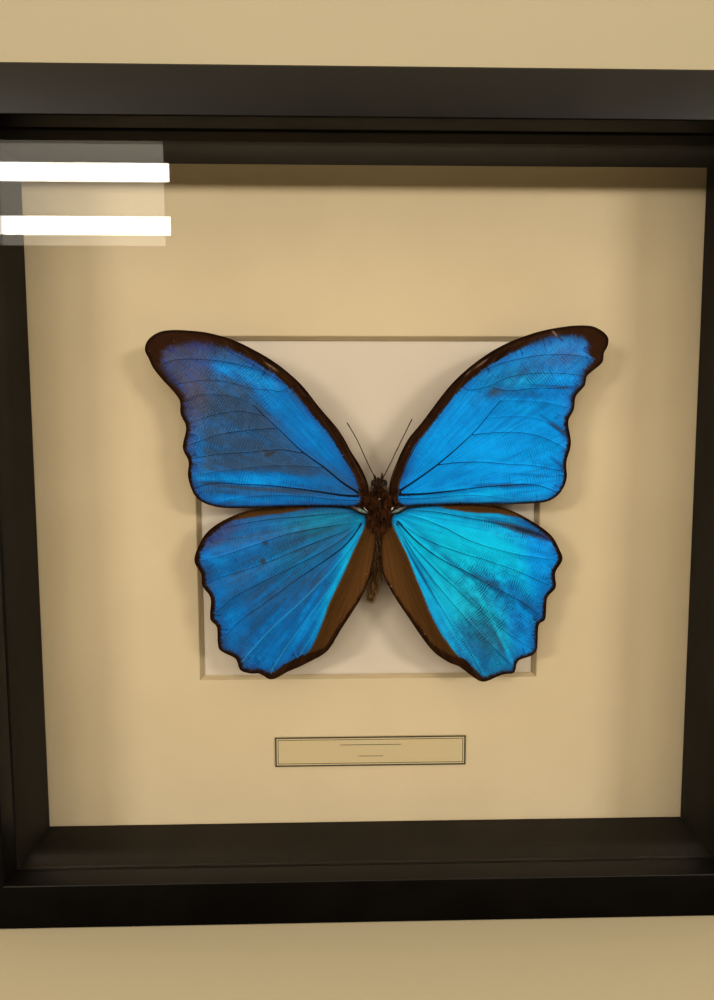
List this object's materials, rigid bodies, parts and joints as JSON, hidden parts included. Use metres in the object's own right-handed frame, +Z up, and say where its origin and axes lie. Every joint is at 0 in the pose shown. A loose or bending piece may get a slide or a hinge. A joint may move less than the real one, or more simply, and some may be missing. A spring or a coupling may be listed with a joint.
{
  "type": "framed butterfly specimen",
  "caption": "Blue butterfly with spread wings, pinned over a pale card window in a deep black square box frame with glass, a beige mount and a bordered blank label.",
  "frame": {"origin": "middle of the footprint on the surface that the bottom rail stands on", "axes": "+Z up, front of the frame faces -Y, +X to the viewer's right"},
  "size_m": [0.25, 0.048, 0.25],
  "materials": {
    "rail_black": "black satin foil over wood",
    "lining_dark": "dark matt paper-covered strip",
    "pane_glass": "clear polished",
    "mount_beige": "matt beige mount board",
    "card_pale": "matt pale pinkish card",
    "foam_board": "soft foam board",
    "hardboard": "brown hardboard",
    "steel": "bright zinc-plated steel",
    "label_paper": "cream paper with a printed double border",
    "insect_body": "dark brown hair over chitin",
    "wing_blue": "blue wing scales with brown-black edges"
  },
  "bodies": {
    "root": {"rail_bottom": "rail_black", "rail_left": "rail_black", "rail_top": "rail_black", "rail_right": "rail_black", "lining_bottom": "lining_dark", "lining_left": "lining_dark", "lining_top": "lining_dark", "lining_right": "lining_dark", "retaining_tab_1": "steel", "retaining_tab_2": "steel", "retaining_tab_3": "steel", "retaining_tab_4": "steel", "retaining_tab_5": "steel", "retaining_tab_6": "steel", "retaining_tab_7": "steel", "retaining_tab_8": "steel", "glass_pane": "pane_glass", "mount_board": "mount_beige", "window_card": "card_pale", "pinning_board": "foam_board", "back_board": "hardboard", "label": "label_paper", "hanging_plate": "steel", "hanging_rivet_left": "steel", "hanging_rivet_right": "steel", "mounting_pin": "steel", "thorax": "insect_body", "head": "insect_body", "abdomen": "insect_body", "antenna_left": "insect_body", "antenna_right": "insect_body", "forewing_left": "wing_blue", "forewing_right": "wing_blue", "hindwing_left": "wing_blue", "hindwing_right": "wing_blue"}
  },
  "joints": []
}
